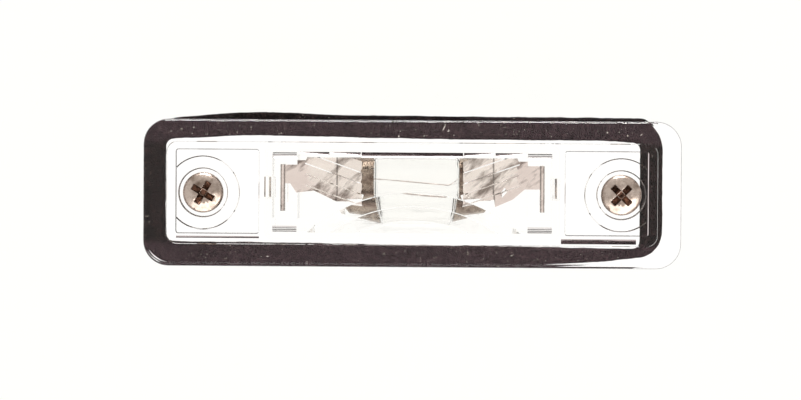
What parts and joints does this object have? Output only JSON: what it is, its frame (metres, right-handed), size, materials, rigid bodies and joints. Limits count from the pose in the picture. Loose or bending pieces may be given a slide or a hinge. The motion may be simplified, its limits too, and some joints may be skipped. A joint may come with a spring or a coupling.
{
  "type": "number plate lamp",
  "caption": "Clear screw-on number plate lamp with a prismatic window, foam seal, clipped-in bulb carrier and a festoon bulb held by two sheet contacts.",
  "frame": {"origin": "centre of the mounting plane, midway between the two screws on the rear face of the seal", "axes": "+Z out of the lens, along the screws; +X along the lamp to the right as seen from the front; +Y up"},
  "size_m": [0.1063, 0.0304, 0.0278],
  "materials": {
    "clear_acrylic": "polished clear moulding",
    "black_foam_rubber": "matte, fine closed cells, dusty",
    "clear_polycarbonate": "clear moulding",
    "nickel_plated_sheet": "nickel plated stamping",
    "bulb_glass": "clear",
    "bulb_cap_metal": "nickel plated, slightly tarnished",
    "cap_cement": "matte",
    "solder": "soft sheen",
    "lead_wire": "drawn wire",
    "tungsten": "fine coiled wire",
    "plated_screw_steel": "plated, a little dulled"
  },
  "bodies": {
    "root": {"lens": "clear_acrylic", "gasket": "black_foam_rubber", "bulb_carrier": "clear_polycarbonate", "contact_left": "nickel_plated_sheet", "contact_right": "nickel_plated_sheet", "bulb_glass": "bulb_glass", "bulb_cap_left": "bulb_cap_metal", "bulb_cap_right": "bulb_cap_metal", "cap_cement_left": "cap_cement", "cap_cement_right": "cap_cement", "solder_tip_left": "solder", "solder_tip_right": "solder", "lead_wire_left": "lead_wire", "lead_wire_right": "lead_wire", "filament": "tungsten", "screw_left": "plated_screw_steel", "screw_right": "plated_screw_steel"}
  },
  "joints": []
}
